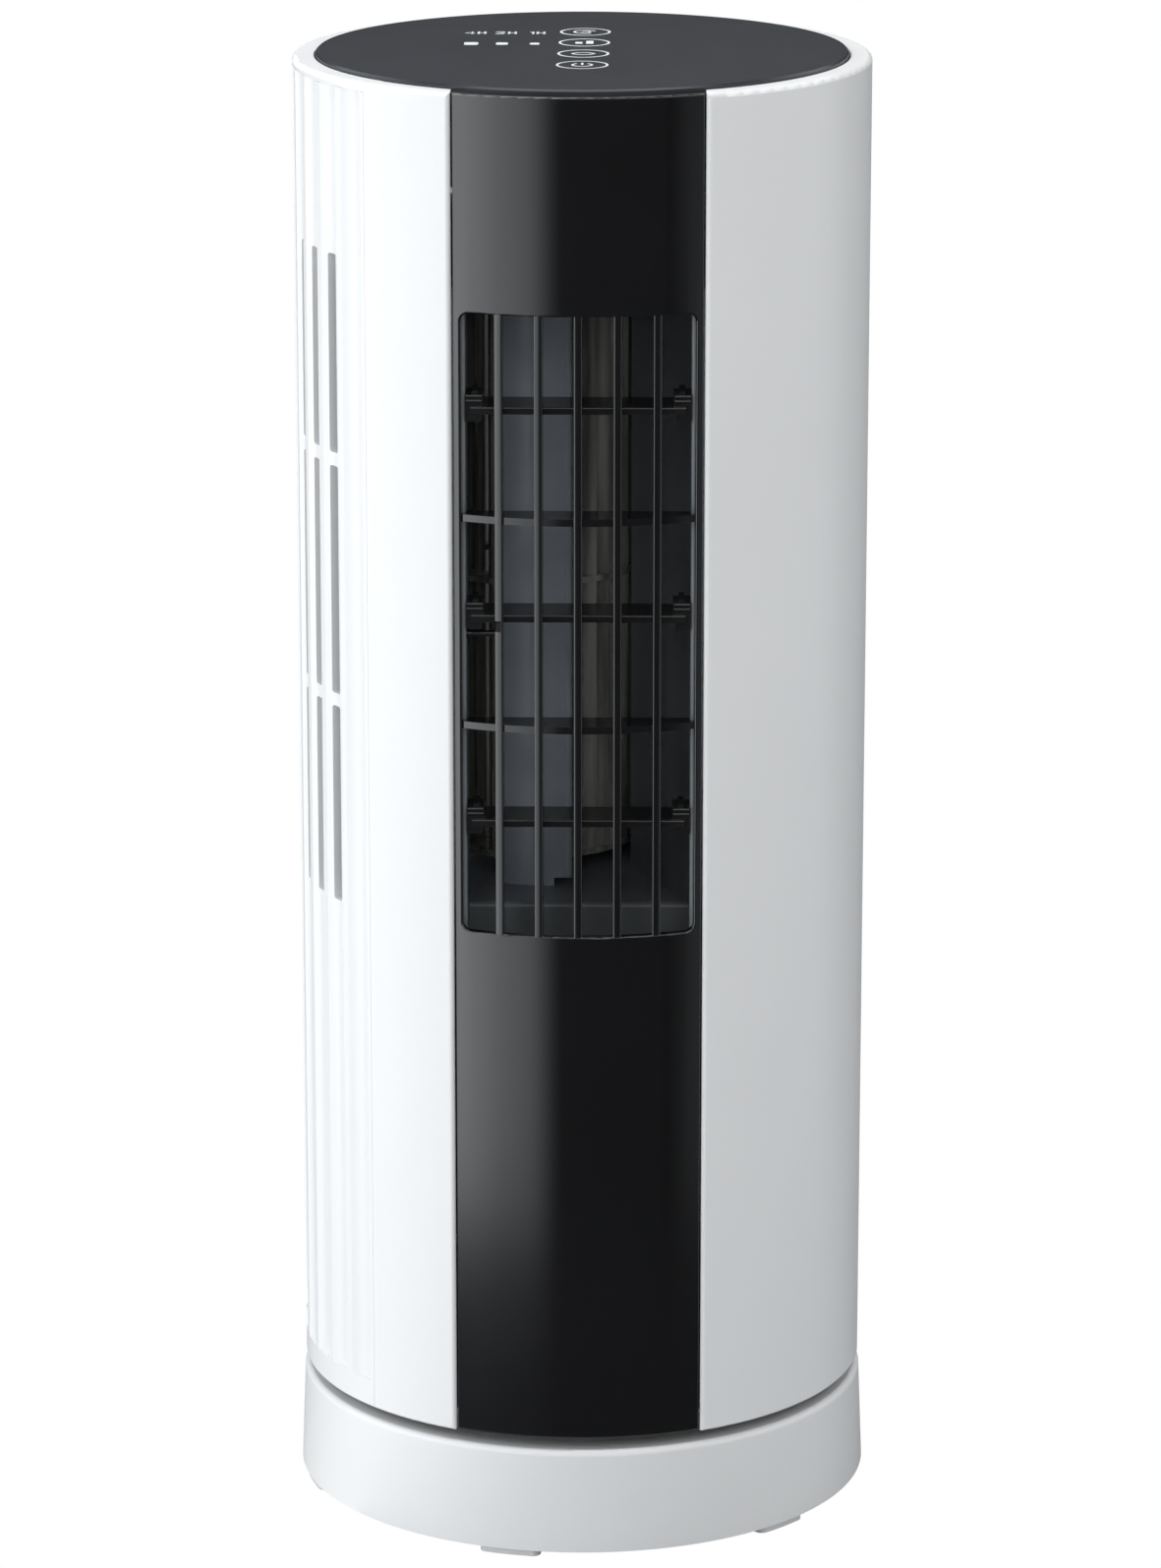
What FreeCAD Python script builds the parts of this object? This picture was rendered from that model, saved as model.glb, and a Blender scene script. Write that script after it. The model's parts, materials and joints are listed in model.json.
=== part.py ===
import FreeCAD, Part
import math
import os

# Compact tower fan. Millimetres, +Z up, origin on the floor under the centre of the base.
# The outlet faces -Y. A bearing is an angle in degrees round the tower: 0 is the front
# (-Y) and it grows towards +X, so 90 is +X and 180 is the back.
# Heights in the functions start from a datum by the base's lower rim. main() lifts every
# piece from there, so that the soles of the feet come to z = 0.

V = FreeCAD.Vector
Z_AXIS = V(0, 0, 1)

# ---- Driving dimensions -------------------------------------------------------------
HEIGHT = 385.0
TOWER_R = 75.0
SHELL_WALL = 2.6
SHELL_BOTTOM = 30.7
RING_TOP = 384.0
EDGE_ROUND = 1.3
RING_INNER_R = 69.4
SHELL_EDGE_ROUND = 1.0
SHELL_LIP_BEVEL = 0.3
FIT_GAP = 0.1
PILOT_R = 1.3
CLEAR_R = 1.6
CUT_FRONT_Y = -80.0
CUT_SIDE_X = 80.0

PANEL_R = 69.0
PANEL_THICK = 2.6
PRINT_RECESS = 0.06
STRIP_HALF_WIDTH = 31.85
STRIP_SETBACK = 1.0
STRIP_WALL = 2.2
STRIP_TOP = 383.8
STRIP_GAP = 0.35
STRIP_ROUND = 0.4

OUTLET_HALF_WIDTH = 29.6
OUTLET_LOW = 167.4
OUTLET_HIGH = 328.6
OUTLET_CORNER = 2.4
OUTLET_ROUND = 0.45
BAR_PITCH = 10.0
BAR_WIDTH = 2.1
BAR_CROWN_R = 5.0
BAR_CORNER = 0.4
BAR_BACK_Y = -58.0
BAR_SETBACK = 0.05
BAR_END_BITE = 1.6
RIB_LEVELS = (221.8, 275.8)
RIB_FRONT_R = 73.0
RIB_BACK_Y = -62.5
RIB_THICK = 1.8
STRUT_TOPS = (196.5, 250.4, 304.2)
STRUT_THICK = 1.85
STRUT_FRONT_Y = -66.5
STRUT_BACK_Y = -53.0
STRUT_HALF = 27.2
STRUT_ROUND = 0.35
CLIP_FRONT_Y = -65.5
CLIP_BACK_Y = -57.0
CLIP_INNER_X = 24.0
CLIP_RISE = 3.1
CLIP_DROP = 2.0
KNOB_INNER_X = 25.4
KNOB_OUTER_X = 26.9
KNOB_RISE = 4.0
RIDGE_R = 0.42
RIDGE_RISES = (1.4, 2.6)
RIDGE_INSET = 0.3
LINK_BAR_X = -20.0
LINK_Y = -62.0
LINK_Z = 244.6
LINK_ROD_R = 0.8
LINK_COLLAR_R = 1.3
LINK_COLLAR_LENGTH = 1.1
NOTCH_LOW = LINK_Z + 2.5
NOTCH_HIGH = LINK_Z + 5.3
NOTCH_LEFT_X = LINK_BAR_X - 2.0
NOTCH_RIGHT_X = LINK_BAR_X + 0.5
NOTCH_FRONT_Y = -76.0
NOTCH_BACK_Y = -66.0

COVER_START = -46.3
FLUTE_PITCH = 8.2
FLUTE_COUNT = 20
FLUTE_DEPTH = 1.2
FLUTE_RADIUS = 8.3
FLUTE_FOOT = 38.0
COVER_TOP = 381.7
COVER_INNER_R = 71.8
COVER_SCREW_Z = 45.0
COVER_SCREW_SEAT_R = 73.2
SHELL_POST_BEARINGS = (40.0, 90.0, 140.0, -36.0)
SHELL_POST_R = 68.6
SHELL_POST_BODY_R = 4.2
SHELL_POST_TOP = 52.0
SHELL_PILOT_TOP = 50.0
LEDGE_INNER_R = 66.0
LEDGE_OUTER_R = 72.5
LEDGE_REAR_R = 71.7
LEDGE_LOW = 371.0
SLOT_WIDTH = 4.2
SLOT_ROWS = ((167.0, 219.3), (222.7, 283.0), (286.5, 338.3))

WHEEL_X = -12.8
WHEEL_Y = 5.0
WHEEL_R = 27.2
WHEEL_LOW = 173.8
WHEEL_HIGH = 323.0
WHEEL_MID = 248.4
BLADE_COUNT = 36
BLADE_INNER_R = 20.8
BLADE_OUTER_R = 27.0
DISC_THICK = 1.5
SHAFT_R = 2.0
RUNNING_GAP = 0.05
THREAD_GAP = 0.05

DUCT_FLOOR_TOP = 170.0
DUCT_CEILING = 334.0
DUCT_WALL = 1.4
DUCT_LIP_Y = -50.5
DUCT_SKIRT_LOW = 157.0
DUCT_SIDE_X = 28.5
DUCT_FRONT_Y = -64.8
DUCT_PLATE_R = 71.2
DUCT_PLATE_THICK = 3.0
APRON_THICK = 1.6
LIP_ROUND = 1.4
WHEEL_BOSS_R = 12.0
WHEEL_BOSS_RISE = 2.6
WHEEL_HOLE_R = 9.0
CUP_R = 8.5
CUP_BORE_R = 6.5
CUP_LOW = 325.0
BEARING_SEAT_R = 4.0

BASE_TURN = 16.0
BASE_R = 76.4
BASE_RIM_R = 75.3
BASE_LOW = -0.1
BASE_TOP = 27.6
BASE_WALL = 2.4
DISH_Z = 26.6
DISH_R = 58.0
PLATE_TOP = 2.2
PLATE_R = 73.6
BOSS_R = 63.5
FOOT_PITCH = 60.0
FOOT_DEPTH = 1.8
FOOT_HALF_ANGLE = 6.3
FOOT_INNER_R = 66.5
FOOT_OUTER_R = 75.6

POST_R = 13.95
POST_BORE_R = 9.0
POST_TOP = 43.3
FLOOR_LOW = 35.6
FLOOR_TOP = 38.4
FLOOR_R = 71.6
COLLAR_R = 20.0
COLLAR_LOW = 31.4
RAIL_LEFT_X = -44.0
RAIL_THICK = 2.4
BOARD_LEFT_X = -41.6
BOARD_RIGHT_X = -40.0
RAIL_REACH_Y = 28.0
RAIL_TOP = 52.0

GEAR_MODULE = 1.0
GEAR_TEETH = 60
PINION_TEETH = 15
GEAR_LOW = 28.6
GEAR_HIGH = 34.0
BACKLASH = 0.16
CENTRE_DISTANCE = GEAR_MODULE * (GEAR_TEETH + PINION_TEETH) / 2

GLAND_Z = 13.0
GLAND_BORE_R = 2.8
GLAND_SLEEVE_R = 4.2
GLAND_FLANGE_R = 6.6
GLAND_SEAT_R = 74.5
GLAND_FACE_R = 75.6
GLAND_INNER_R = 70.5
GLAND_RECESS_R = 7.0
GEAR_SCREW_R = 25.0
RETAINER_R = 19.0
RETAINER_SCREW_R = 11.6
RETAINER_THICK = 2.0
SLIDE_INNER_R = 51.0
SLIDE_OUTER_R = 54.0

KEY_X = 0.4
KEY_YS = (-27.0, -7.6, 11.8, 31.0)
TIMER_XS = (-29.0, -21.0, -12.5)
TIMER_Y = 9.5
BOARD_LOW = 378.2
BOARD_TOP = 379.8
TRAY_LOW = 374.0
TRAY_FLOOR = 376.0
LOOM_X = 55.0
LOOM_Y = 20.0

# ---- Geometry helpers ---------------------------------------------------------------


def at_bearing(bearing, radius, z=0.0):
    """The point at a bearing and radius from the tower's axis."""
    angle = math.radians(bearing)
    return V(radius * math.sin(angle), -radius * math.cos(angle), z)


def outward(bearing):
    """The unit vector that points away from the axis at a bearing."""
    return at_bearing(bearing, 1.0)


def cylinder(radius, low, high, x=0.0, y=0.0):
    return Part.makeCylinder(radius, high - low, V(x, y, low), Z_AXIS)


def tube(inner, outer, low, high, x=0.0, y=0.0):
    return cylinder(outer, low, high, x, y).cut(cylinder(inner, low, high, x, y))


def block(x0, x1, y0, y1, z0, z1):
    return Part.makeBox(x1 - x0, y1 - y0, z1 - z0, V(x0, y0, z0))


def polygon_face(points):
    return Part.Face(Part.makePolygon(list(points) + [points[0]]))


def prism(points, low, high):
    """A straight prism over a list of (x, y) points."""
    face = polygon_face([V(x, y, low) for x, y in points])
    return face.extrude(V(0, 0, high - low))


def face_of_edges(edges):
    return Part.Face(Part.Wire(Part.__sortEdges__(edges)))


def line(a, b):
    return Part.LineSegment(a, b).toShape()


def arc(a, b, c):
    return Part.Arc(a, b, c).toShape()


def swept_profile(edges, start, end):
    """Turn a profile drawn in the X-Z half plane round the axis between two bearings."""
    face = face_of_edges(edges)
    face.rotate(V(0, 0, 0), Z_AXIS, start - 90.0)
    return face.revolve(V(0, 0, 0), Z_AXIS, end - start)


def ring_sector(inner, outer, low, high, start, end):
    corners = [V(inner, 0, low), V(outer, 0, low), V(outer, 0, high), V(inner, 0, high)]
    sides = [line(corners[i], corners[(i + 1) % 4]) for i in range(4)]
    return swept_profile(sides, start, end)


def revolved(points):
    """A full turn of a closed (radius, z) outline."""
    face = polygon_face([V(r, 0, z) for r, z in points])
    return face.revolve(V(0, 0, 0), Z_AXIS, 360.0)


def fused(shapes):
    whole = shapes[0].fuse(shapes[1:])
    return whole.removeSplitter()


def group(solids):
    return Part.makeCompound(solids)


def screw(seat, axis, head_r, head_h, shank_r, length):
    """A pan-head cross-recess screw; seat is under its head, axis points at its tip."""
    back = axis * -1.0
    shank = Part.makeCylinder(shank_r - THREAD_GAP, length, seat, axis)
    head = Part.makeCylinder(head_r, head_h, seat, back)
    body = head.fuse(shank)
    recess = []
    for turn in (0.0, 90.0):
        slot = Part.makeBox(head_r * 1.2, head_r * 0.24, head_h)
        slot.translate(V(-head_r * 0.6, -head_r * 0.12, head_h * 0.45))
        slot.rotate(V(0, 0, 0), Z_AXIS, turn)
        recess.append(slot)
    cross = recess[0].fuse(recess[1])
    cross.Placement = FreeCAD.Placement(seat, FreeCAD.Rotation(Z_AXIS, back))
    return body.cut(cross)


# ---- Outer shell --------------------------------------------------------------------


def skin_profile(outer, inner, top, rim_round, lip_bevel):
    """Upright wall with a lip turned in over its top, drawn in the X-Z half plane."""
    lip = RING_INNER_R
    lip_low = top - 2.4
    half = math.sqrt(0.5)
    corners = [
        V(lip, 0, top - lip_bevel),
        V(lip, 0, lip_low),
        V(inner, 0, lip_low - (inner - lip)),
        V(inner, 0, SHELL_BOTTOM),
        V(outer - 0.5, 0, SHELL_BOTTOM),
        V(outer, 0, SHELL_BOTTOM + 0.5),
        V(outer, 0, top - rim_round),
    ]
    rim_end = V(outer - rim_round, 0, top)
    rim_middle = rim_end + V(rim_round * half, 0, -rim_round * (1 - half))
    lip_end = V(lip + lip_bevel, 0, top)
    edges = [line(corners[i], corners[i + 1]) for i in range(6)]
    edges.append(arc(corners[6], rim_middle, rim_end))
    edges.append(line(rim_end, lip_end))
    edges.append(line(lip_end, corners[0]))
    return edges


def front_slot(half_width, radius, corner_round):
    """Cutter for everything between two upright planes at the front.

    It also rounds the two outer corners that the planes make with a wall of that radius."""
    low = SHELL_BOTTOM - 1
    high = HEIGHT + 1
    far = -TOWER_R - 5
    pieces = [block(-half_width, half_width, far, 0.0, low, high)]
    centre_x = half_width + corner_round
    centre_r = radius - corner_round
    centre_y = -math.sqrt(centre_r ** 2 - centre_x ** 2)
    start = V(half_width, centre_y, low)
    scale = radius / centre_r
    end = V(centre_x * scale, centre_y * scale, low)
    turn = (math.pi + math.atan2(centre_y, centre_x) % (2 * math.pi)) / 2
    middle = V(
        centre_x + corner_round * math.cos(turn), centre_y + corner_round * math.sin(turn), low
    )
    outline = [
        line(start, V(half_width, far, low)),
        line(V(half_width, far, low), V(end.x, far, low)),
        line(V(end.x, far, low), end),
        arc(end, middle, start),
    ]
    corner = face_of_edges(outline).extrude(V(0, 0, high - low))
    pieces += [corner, corner.mirror(V(0, 0, 0), V(1, 0, 0))]
    return fused(pieces)


def cover_end():
    return COVER_START - FLUTE_PITCH * FLUTE_COUNT + 0.4


def main_shell():
    """C-shaped wrap: two plain walls, joined round the back by a top and a bottom ring."""
    right_end = cover_end() + 360.0
    wall = (TOWER_R, TOWER_R - SHELL_WALL, RING_TOP, EDGE_ROUND, SHELL_LIP_BEVEL)
    walls = [
        swept_profile(skin_profile(*wall), 15.0, right_end),
        swept_profile(skin_profile(*wall), COVER_START, -15.0),
    ]
    ring_low = COVER_TOP + FIT_GAP
    rim_end = V(TOWER_R - EDGE_ROUND, 0, RING_TOP)
    half = math.sqrt(0.5)
    rim_middle = rim_end + V(EDGE_ROUND * half, 0, -EDGE_ROUND * (1 - half))
    ring_corners = [
        rim_end,
        V(RING_INNER_R, 0, RING_TOP),
        V(RING_INNER_R, 0, TRAY_LOW),
        V(COVER_INNER_R - FIT_GAP, 0, TRAY_LOW),
        V(COVER_INNER_R - FIT_GAP, 0, ring_low),
        V(TOWER_R, 0, ring_low),
        V(TOWER_R, 0, RING_TOP - EDGE_ROUND),
    ]
    ring = [line(ring_corners[i], ring_corners[i + 1]) for i in range(6)]
    ring.append(arc(ring_corners[6], rim_middle, rim_end))
    top_ring = swept_profile(ring, right_end - 1.0, COVER_START + 361.0)
    foot_ring = ring_sector(
        RING_INNER_R, COVER_INNER_R - FIT_GAP, FLOOR_TOP, SHELL_PILOT_TOP,
        right_end - 8.0, COVER_START + 368.0,
    )
    posts = []
    for bearing in SHELL_POST_BEARINGS:
        spot = at_bearing(bearing, SHELL_POST_R)
        posts.append(cylinder(SHELL_POST_BODY_R, FLOOR_TOP, SHELL_POST_TOP, spot.x, spot.y))
    ledges = [
        ring_sector(LEDGE_INNER_R, LEDGE_OUTER_R, LEDGE_LOW, TRAY_LOW, 20.0, right_end),
        ring_sector(LEDGE_INNER_R, LEDGE_OUTER_R, LEDGE_LOW, TRAY_LOW, COVER_START, -20.0),
        ring_sector(LEDGE_INNER_R, LEDGE_REAR_R, LEDGE_LOW, TRAY_LOW, right_end, COVER_START + 360.0),
    ]
    shell = fused(walls + [top_ring, foot_ring] + posts + ledges)
    for bearing in SHELL_POST_BEARINGS:
        spot = at_bearing(bearing, SHELL_POST_R)
        shell = shell.cut(cylinder(PILOT_R, FLOOR_TOP - 1, SHELL_PILOT_TOP, spot.x, spot.y))
    return shell.cut(front_slot(STRIP_HALF_WIDTH, TOWER_R, SHELL_EDGE_ROUND))


def floor_screws():
    solids = []
    for bearing in SHELL_POST_BEARINGS:
        seat = at_bearing(bearing, SHELL_POST_R, FLOOR_LOW + 1.2)
        solids.append(screw(seat, Z_AXIS, 2.4, 1.1, 1.3, 10.0))
    return group(solids)


def flute_bearing(index):
    return COVER_START - FLUTE_PITCH * (index + 0.5)


def slot_cutter(low, high):
    """A rounded slot through the wall, at the front of the tower."""
    half = SLOT_WIDTH / 2
    cutter = block(-half, half, -TOWER_R - 5, -COVER_INNER_R + 5, low, high)
    along = [e for e in cutter.Edges if e.BoundBox.YLength > 1]
    return cutter.makeFillet(0.8, along)


def cover_screw_bearings():
    middle = COVER_START - FLUTE_PITCH * FLUTE_COUNT / 2
    return (middle - 5 * FLUTE_PITCH, middle + 5 * FLUTE_PITCH)


def rear_intake_cover():
    """Fluted cover round the left and the back, with three rows of intake slots."""
    corners = [
        V(TOWER_R, 0, COVER_TOP),
        V(TOWER_R, 0, SHELL_BOTTOM + 0.5),
        V(TOWER_R - 0.5, 0, SHELL_BOTTOM),
        V(COVER_INNER_R, 0, SHELL_BOTTOM),
        V(COVER_INNER_R, 0, COVER_TOP),
    ]
    profile = [line(corners[i], corners[(i + 1) % 5]) for i in range(5)]
    cover = swept_profile(profile, cover_end() + 0.08, COVER_START - 0.08)
    cutters = []
    for index in range(FLUTE_COUNT):
        spot = at_bearing(flute_bearing(index), TOWER_R - FLUTE_DEPTH + FLUTE_RADIUS)
        cutters.append(cylinder(FLUTE_RADIUS, FLUTE_FOOT, HEIGHT, spot.x, spot.y))
    for low, high in SLOT_ROWS:
        first = slot_cutter(low, high)
        for index in range(1, FLUTE_COUNT - 1):
            slot = first.copy()
            slot.rotate(V(0, 0, 0), Z_AXIS, flute_bearing(index))
            cutters.append(slot)
    for bearing in cover_screw_bearings():
        along = outward(bearing)
        seat = at_bearing(bearing, COVER_SCREW_SEAT_R, COVER_SCREW_Z)
        cutters.append(Part.makeCylinder(2 * CLEAR_R, 5, seat, along))
        cutters.append(Part.makeCylinder(CLEAR_R, 5, at_bearing(bearing, 70.0, COVER_SCREW_Z), along))
    return cover.cut(cutters)


def cover_screws():
    solids = []
    for bearing in cover_screw_bearings():
        seat = at_bearing(bearing, COVER_SCREW_SEAT_R, COVER_SCREW_Z)
        solids.append(screw(seat, outward(bearing) * -1.0, 2.6, 1.2, 1.5, 1.4))
    return group(solids)


# ---- Front panel and outlet ---------------------------------------------------------


def outlet_window():
    """A prism through the front, as large as the outlet."""
    half = OUTLET_HALF_WIDTH
    window = block(-half, half, CUT_FRONT_Y, DUCT_LIP_Y, OUTLET_LOW, OUTLET_HIGH)
    along = [e for e in window.Edges if e.BoundBox.YLength > 1]
    return window.makeFillet(OUTLET_CORNER, along)


def outlet_rim(strip):
    """The outer edges of the outlet's opening."""
    front_r = TOWER_R - STRIP_SETBACK
    found = []
    for edge in strip.Edges:
        spots = [edge.valueAt(p) for p in edge.ParameterRange]
        inside = all(OUTLET_LOW - 0.1 < p.z < OUTLET_HIGH + 0.1 for p in spots)
        outside = all(abs(math.hypot(p.x, p.y) - front_r) < 0.01 for p in spots)
        if inside and outside and abs(spots[0].x) < OUTLET_HALF_WIDTH + 0.1:
            found.append(edge)
    return found


def outlet_bar(x):
    """An upright bar, its crowned nose all but flush with the strip's surface."""
    half = BAR_WIDTH / 2
    low = OUTLET_LOW - BAR_END_BITE
    nose_r = TOWER_R - STRIP_SETBACK - BAR_SETBACK
    bearing = math.degrees(math.asin(x / nose_r))
    centre = at_bearing(bearing, nose_r - BAR_CROWN_R, low)

    def nose_spot(side_x):
        reach = math.sqrt(BAR_CROWN_R ** 2 - (side_x - centre.x) ** 2)
        return V(side_x, centre.y - reach, low)

    left = nose_spot(x - half)
    right = nose_spot(x + half)
    nose = arc(left, at_bearing(bearing, nose_r, low), right)
    back = [right, V(x + half, BAR_BACK_Y, low), V(x - half, BAR_BACK_Y, low), left]
    sides = [line(back[i], back[i + 1]) for i in range(3)]
    bar = face_of_edges([nose] + sides).extrude(V(0, 0, OUTLET_HIGH + BAR_END_BITE - low))
    front = [e for e in bar.Edges if e.BoundBox.ZLength > 10 and e.BoundBox.YMax < BAR_BACK_Y - 1]
    return bar.makeFillet(BAR_CORNER, front)


def cross_rib(level):
    """A level rib with a curved front edge, let into the strip at both ends."""
    low = level - RIB_THICK / 2
    high = level + RIB_THICK / 2
    end = OUTLET_HALF_WIDTH + 0.5
    inner_end = DUCT_SIDE_X - 0.1
    front = block(-end, end, CUT_FRONT_Y, DUCT_FRONT_Y - 0.2, low, high)
    front = front.common(cylinder(RIB_FRONT_R, low, high))
    rear = block(-inner_end, inner_end, DUCT_FRONT_Y - 0.2, RIB_BACK_Y, low, high)
    return fused([front, rear])


def front_panel():
    """Glossy strip with the outlet opening, its five bars and two curved cross ribs."""
    outer = TOWER_R - STRIP_SETBACK
    profile = skin_profile(outer, outer - STRIP_WALL, STRIP_TOP, STRIP_ROUND, STRIP_ROUND)
    ring = swept_profile(profile, -40.0, 40.0)
    strip = ring.common(strip_blank())
    strip = strip.cut(outlet_window())
    strip = strip.makeFillet(OUTLET_ROUND, outlet_rim(strip))
    pieces = [outlet_bar(step * BAR_PITCH) for step in range(-2, 3)]
    pieces += [cross_rib(level) for level in RIB_LEVELS]
    panel = fused([strip] + pieces)
    notch = block(NOTCH_LEFT_X, NOTCH_RIGHT_X, NOTCH_FRONT_Y, NOTCH_BACK_Y, NOTCH_LOW, NOTCH_HIGH)
    return panel.cut([notch, cross_struts()])


def strip_blank():
    """Upright block with two rounded front corners, as wide as the strip."""
    half = STRIP_HALF_WIDTH - STRIP_GAP
    outer = TOWER_R - STRIP_SETBACK
    blank = block(-half, half, -TOWER_R, -40.0, SHELL_BOTTOM - 1, HEIGHT)
    centre_x = half - STRIP_ROUND
    centre_r = outer - STRIP_ROUND
    centre_y = -math.sqrt(centre_r ** 2 - centre_x ** 2)
    scale = outer / centre_r
    start = V(half, centre_y, SHELL_BOTTOM - 1)
    end = V(centre_x * scale, centre_y * scale, SHELL_BOTTOM - 1)
    turn = math.atan2(centre_y, centre_x) / 2
    middle = V(centre_x + STRIP_ROUND * math.cos(turn), centre_y + STRIP_ROUND * math.sin(turn), start.z)
    outline = [
        arc(start, middle, end),
        line(end, V(end.x, -TOWER_R - 1, start.z)),
        line(V(end.x, -TOWER_R - 1, start.z), V(half + 1, -TOWER_R - 1, start.z)),
        line(V(half + 1, -TOWER_R - 1, start.z), V(half + 1, centre_y, start.z)),
        line(V(half + 1, centre_y, start.z), start),
    ]
    corner = face_of_edges(outline).extrude(V(0, 0, HEIGHT - start.z + 1))
    return blank.cut([corner, corner.mirror(V(0, 0, 0), V(1, 0, 0))])


def cross_struts():
    """Straight stiffening plates let into the backs of the bars."""
    plates = []
    for top in STRUT_TOPS:
        plate = block(-STRUT_HALF, STRUT_HALF, STRUT_FRONT_Y, STRUT_BACK_Y, top - STRUT_THICK, top)
        middle = V(0, STRUT_FRONT_Y, top)
        nose = [edge for edge in plate.Edges if edge.CenterOfMass.distanceToPoint(middle) < 0.01]
        plates.append(plate.makeFillet(STRUT_ROUND, nose))
    return group(plates)


def strut_clips():
    """Ridged snap brackets that hold both ends of each strut, on the duct's side walls."""
    solids = []
    front = CLIP_FRONT_Y
    back = CLIP_BACK_Y
    side = DUCT_SIDE_X
    for top in STRUT_TOPS:
        bottom = top - STRUT_THICK
        upper = block(CLIP_INNER_X, side, front, back, top, top + CLIP_RISE)
        knob = block(KNOB_INNER_X, KNOB_OUTER_X, front, back, top + CLIP_RISE - 0.1, top + KNOB_RISE)
        lower = block(CLIP_INNER_X + 0.6, side, front, back, bottom - CLIP_DROP, bottom)
        root = block(STRUT_HALF, side, front, back, bottom - 1.0, top + 1.0)
        ridges = []
        for rise in RIDGE_RISES:
            start = V(CLIP_INNER_X + RIDGE_INSET, front, top + rise)
            ridges.append(Part.makeCylinder(RIDGE_R, side - CLIP_INNER_X - 0.4, start, V(1, 0, 0)))
        clip = fused([upper, knob, lower, root] + ridges)
        solids.append(clip)
        solids.append(clip.mirror(V(0, 0, 0), V(1, 0, 0)))
    return group(solids)


def link_rod():
    """Short round rod with a collar, from the left duct wall to the first bar."""
    start = V(-DUCT_SIDE_X, LINK_Y, LINK_Z)
    length = LINK_BAR_X - BAR_WIDTH / 2 + DUCT_SIDE_X
    rod = Part.makeCylinder(LINK_ROD_R, length, start, V(1, 0, 0))
    collar = Part.makeCylinder(LINK_COLLAR_R, LINK_COLLAR_LENGTH, start, V(1, 0, 0))
    return fused([rod, collar])


# ---- Air duct -----------------------------------------------------------------------


def around_wheel(angle, radius):
    turn = math.radians(angle)
    return V(
        WHEEL_X + radius * math.cos(turn), WHEEL_Y + radius * math.sin(turn), DUCT_FLOOR_TOP
    )


def side_wall_front(side):
    """Front end of a duct side wall: two straight runs and a round nose between them."""
    z = DUCT_FLOOR_TOP
    nose_y = DUCT_FRONT_Y + DUCT_WALL / 2
    inner = V(side * DUCT_SIDE_X, nose_y, z)
    outer = V(side * (DUCT_SIDE_X + DUCT_WALL), nose_y, z)
    tip = V(side * (DUCT_SIDE_X + DUCT_WALL / 2), DUCT_FRONT_Y, z)
    return inner, arc(inner, tip, outer), outer


def side_wall(edges, side):
    """Extrude a wall's outline, and carry its front end down past the floor's lip."""
    wall = face_of_edges(edges).extrude(V(0, 0, DUCT_CEILING - DUCT_FLOOR_TOP))
    inner, nose, outer = side_wall_front(side)
    inner_back = V(inner.x, DUCT_LIP_Y - 0.1, inner.z)
    outer_back = V(outer.x, DUCT_LIP_Y - 0.1, inner.z)
    sides = [line(outer, outer_back), line(outer_back, inner_back), line(inner_back, inner)]
    drop = face_of_edges([nose] + sides).extrude(V(0, 0, DUCT_SKIRT_LOW - DUCT_FLOOR_TOP))
    return fused([wall, drop])


def scroll_wall():
    """Spiral wall round the back and right of the wheel, out to the outlet's right edge."""
    turns = ((130, 28.8), (47, 30.2), (-35, 31.6))
    a = [around_wheel(angle, radius) for angle, radius in turns]
    b = [around_wheel(angle, radius + DUCT_WALL) for angle, radius in turns]
    inner, nose, outer = side_wall_front(1.0)
    inner_bend = V(inner.x, -50.0, inner.z)
    outer_bend = V(outer.x, -49.6, inner.z)
    edges = [arc(a[0], a[1], a[2]), line(a[2], inner_bend), line(inner_bend, inner), nose]
    edges += [line(outer, outer_bend), line(outer_bend, b[2])]
    edges += [arc(b[2], b[1], b[0]), line(b[0], a[0])]
    return side_wall(edges, 1.0)


def left_duct_wall():
    """Wall from the outlet's left edge back to the left side of the wheel."""
    inner, nose, outer = side_wall_front(-1.0)
    z = DUCT_FLOOR_TOP
    corners = [
        inner, V(inner.x, -48.0, z), V(-40.2, -12.0, z),
        V(-41.7, -12.0, z), V(outer.x, -48.3, z), outer,
    ]
    edges = [line(corners[i], corners[i + 1]) for i in range(5)]
    return side_wall(edges + [nose], -1.0)


def flow_divider():
    """Bowed vertical plate in front of the wheel, with a bead down its right edge."""
    z = DUCT_FLOOR_TOP
    front = [V(-21.9, -31.4, z), V(-12.6, -34.4, z), V(-3.4, -34.0, z)]
    back = [V(-3.4, -32.4, z), V(-12.6, -32.8, z), V(-21.6, -29.8, z)]
    edges = [
        arc(front[0], front[1], front[2]),
        line(front[2], back[0]),
        arc(back[0], back[1], back[2]),
        line(back[2], front[0]),
    ]
    plate = face_of_edges(edges).extrude(V(0, 0, DUCT_CEILING - z))
    bead = cylinder(1.2, z, DUCT_CEILING, -3.2, -33.2)
    notch = block(-6.8, 0.0, -40.0, -25.0, z, z + 2.1)
    return fused([plate, bead]).cut(notch)


def loom_hole(low, high):
    return cylinder(3.4, low, high, LOOM_X, LOOM_Y)


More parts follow.
